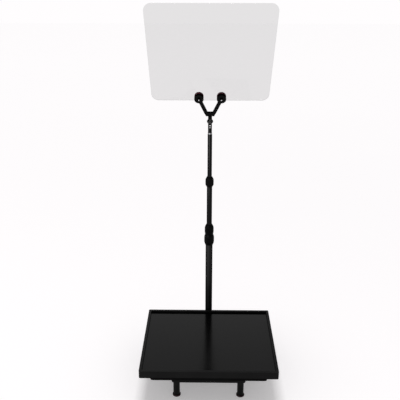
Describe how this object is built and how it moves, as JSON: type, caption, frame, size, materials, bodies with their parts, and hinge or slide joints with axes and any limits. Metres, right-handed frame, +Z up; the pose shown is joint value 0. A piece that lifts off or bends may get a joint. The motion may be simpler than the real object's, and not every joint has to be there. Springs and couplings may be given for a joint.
{
  "type": "teleprompter",
  "caption": "Presidential-style teleprompter: a flat monitor on a low footed base, and a telescopic pole that holds a tilted beam-splitter glass in a two-clamp fork.",
  "frame": {"origin": "on the floor, in the middle of the object's box", "axes": "+Z up the pole, +Y away from the monitor's front edge towards the pole, +X to the right of someone who faces the pole over the monitor"},
  "size_m": [0.407, 0.402, 1.1324],
  "materials": {
    "base_paint": "fine black powder coat",
    "leg_paint": "satin black paint",
    "foot_rubber": "dark wine-red rubber",
    "frame_plastic": "fine-grained black plastic",
    "housing_plastic": "grained black plastic",
    "screen": "anti-glare panel, switched off",
    "panel_tray": "plain sheet",
    "zinc_steel": "zinc plated",
    "black_steel": "black oxide",
    "board": "green solder mask",
    "port_black": "moulded black",
    "port_metal": "nickel plated",
    "port_blue": "moulded blue",
    "button_plastic": "satin black",
    "tube_anodised": "black anodised, drawn",
    "ferrule": "turned",
    "nylon": "natural nylon",
    "collar_plastic": "ribbed grip",
    "bright_steel": "turned and polished",
    "head_alloy": "satin black anodised",
    "pad_rubber": "soft black rubber",
    "beam_splitter": "partly reflective coating",
    "knob_plastic": "grooved grip",
    "red_anodised": "dark red anodised"
  },
  "bodies": {
    "base": {"base_plate": "base_paint", "crossbar_front": "base_paint", "crossbar_rear": "base_paint", "leg_front_left": "leg_paint", "leg_front_right": "leg_paint", "leg_rear_left": "leg_paint", "leg_rear_right": "leg_paint", "foot_front_left": "foot_rubber", "foot_front_right": "foot_rubber", "foot_rear_left": "foot_rubber", "foot_rear_right": "foot_rubber", "frame_screws": "zinc_steel", "pole_socket": "base_paint", "socket_screws": "black_steel", "bezel": "frame_plastic", "screen_panel": "screen", "backlight": "panel_tray", "rear_housing": "housing_plastic", "housing_screws": "black_steel", "mount_plate": "zinc_steel", "mount_screws": "black_steel", "main_board": "board", "button_board": "board", "dc_jack": "port_black", "hdmi_port": "port_metal", "vga_port": "port_blue", "bnc_port": "port_metal", "pole_tube_1": "tube_anodised", "seat_1": "ferrule", "bush_1": "nylon"},
    "socket_knob": {"socket_knob": "knob_plastic"},
    "button_power": {"button_power": "button_plastic"},
    "button_menu": {"button_menu": "button_plastic"},
    "button_up": {"button_up": "button_plastic"},
    "button_down": {"button_down": "button_plastic"},
    "collar_1": {"collar_1": "collar_plastic"},
    "section_2": {"pole_tube_2": "tube_anodised", "guide_2": "nylon", "seat_2": "ferrule", "bush_2": "nylon"},
    "collar_2": {"collar_2": "collar_plastic"},
    "section_3": {"pole_tube_3": "tube_anodised", "guide_3": "nylon", "seat_3": "ferrule", "bush_3": "nylon"},
    "collar_3": {"collar_3": "collar_plastic"},
    "section_4": {"pole_tube_4": "tube_anodised", "guide_4": "nylon", "spigot": "bright_steel"},
    "swivel": {"adapter": "head_alloy", "adapter_screws": "bright_steel", "pivot_bolt": "black_steel"},
    "head": {"yoke": "head_alloy", "glass_pads": "pad_rubber", "glass": "beam_splitter", "clamp_studs": "bright_steel"},
    "knob_left": {"knob_left": "knob_plastic", "knob_ring_left": "red_anodised"},
    "knob_right": {"knob_right": "knob_plastic", "knob_ring_right": "red_anodised"}
  },
  "joints": [
    {"name": "section_2_slide", "type": "slide", "parent": "base", "child": "section_2", "axis": [0, 0, 1], "range_m": [0, 0.24]},
    {"name": "section_3_slide", "type": "slide", "parent": "section_2", "child": "section_3", "axis": [0, 0, 1], "range_m": [-0.128, 0.135]},
    {"name": "section_4_slide", "type": "slide", "parent": "section_3", "child": "section_4", "axis": [0, 0, 1], "range_m": [-0.125, 0.155]},
    {"name": "collar_1_twist", "type": "hinge", "parent": "base", "child": "collar_1", "pos_m": [0, 0.159, 0.386], "axis": [0, 0, 1], "range_deg": [0, 90]},
    {"name": "collar_2_twist", "type": "hinge", "parent": "section_2", "child": "collar_2", "pos_m": [0, 0.159, 0.422], "axis": [0, 0, 1], "range_deg": [0, 90]},
    {"name": "collar_3_twist", "type": "hinge", "parent": "section_3", "child": "collar_3", "pos_m": [0, 0.159, 0.586], "axis": [0, 0, 1], "range_deg": [0, 90]},
    {"name": "head_pan", "type": "hinge", "parent": "section_4", "child": "swivel", "pos_m": [0, 0.159, 0.76], "axis": [0, 0, 1], "continuous": true},
    {"name": "head_tilt", "type": "hinge", "parent": "swivel", "child": "head", "pos_m": [0, 0.159, 0.781], "axis": [1, 0, 0], "range_deg": [-112, 68]},
    {"name": "knob_left_turn", "type": "hinge", "parent": "head", "child": "knob_left", "pos_m": [-0.0336, 0.13871, 0.86059], "axis": [0, 0.9272, 0.3746], "range_deg": [0, 720]},
    {"name": "knob_right_turn", "type": "hinge", "parent": "head", "child": "knob_right", "pos_m": [0.0336, 0.13871, 0.86059], "axis": [0, 0.9272, 0.3746], "range_deg": [0, 720]},
    {"name": "socket_knob_turn", "type": "hinge", "parent": "base", "child": "socket_knob", "pos_m": [0, 0.179, 0.093], "axis": [0, 1, 0], "range_deg": [0, 360]},
    {"name": "button_power_press", "type": "slide", "parent": "base", "child": "button_power", "axis": [-1, 0, 0], "range_m": [0, 0.0008], "stiffness_N_per_m": 500},
    {"name": "button_menu_press", "type": "slide", "parent": "base", "child": "button_menu", "axis": [-1, 0, 0], "range_m": [0, 0.0008], "stiffness_N_per_m": 500},
    {"name": "button_up_press", "type": "slide", "parent": "base", "child": "button_up", "axis": [-1, 0, 0], "range_m": [0, 0.0008], "stiffness_N_per_m": 500},
    {"name": "button_down_press", "type": "slide", "parent": "base", "child": "button_down", "axis": [-1, 0, 0], "range_m": [0, 0.0008], "stiffness_N_per_m": 500}
  ]
}
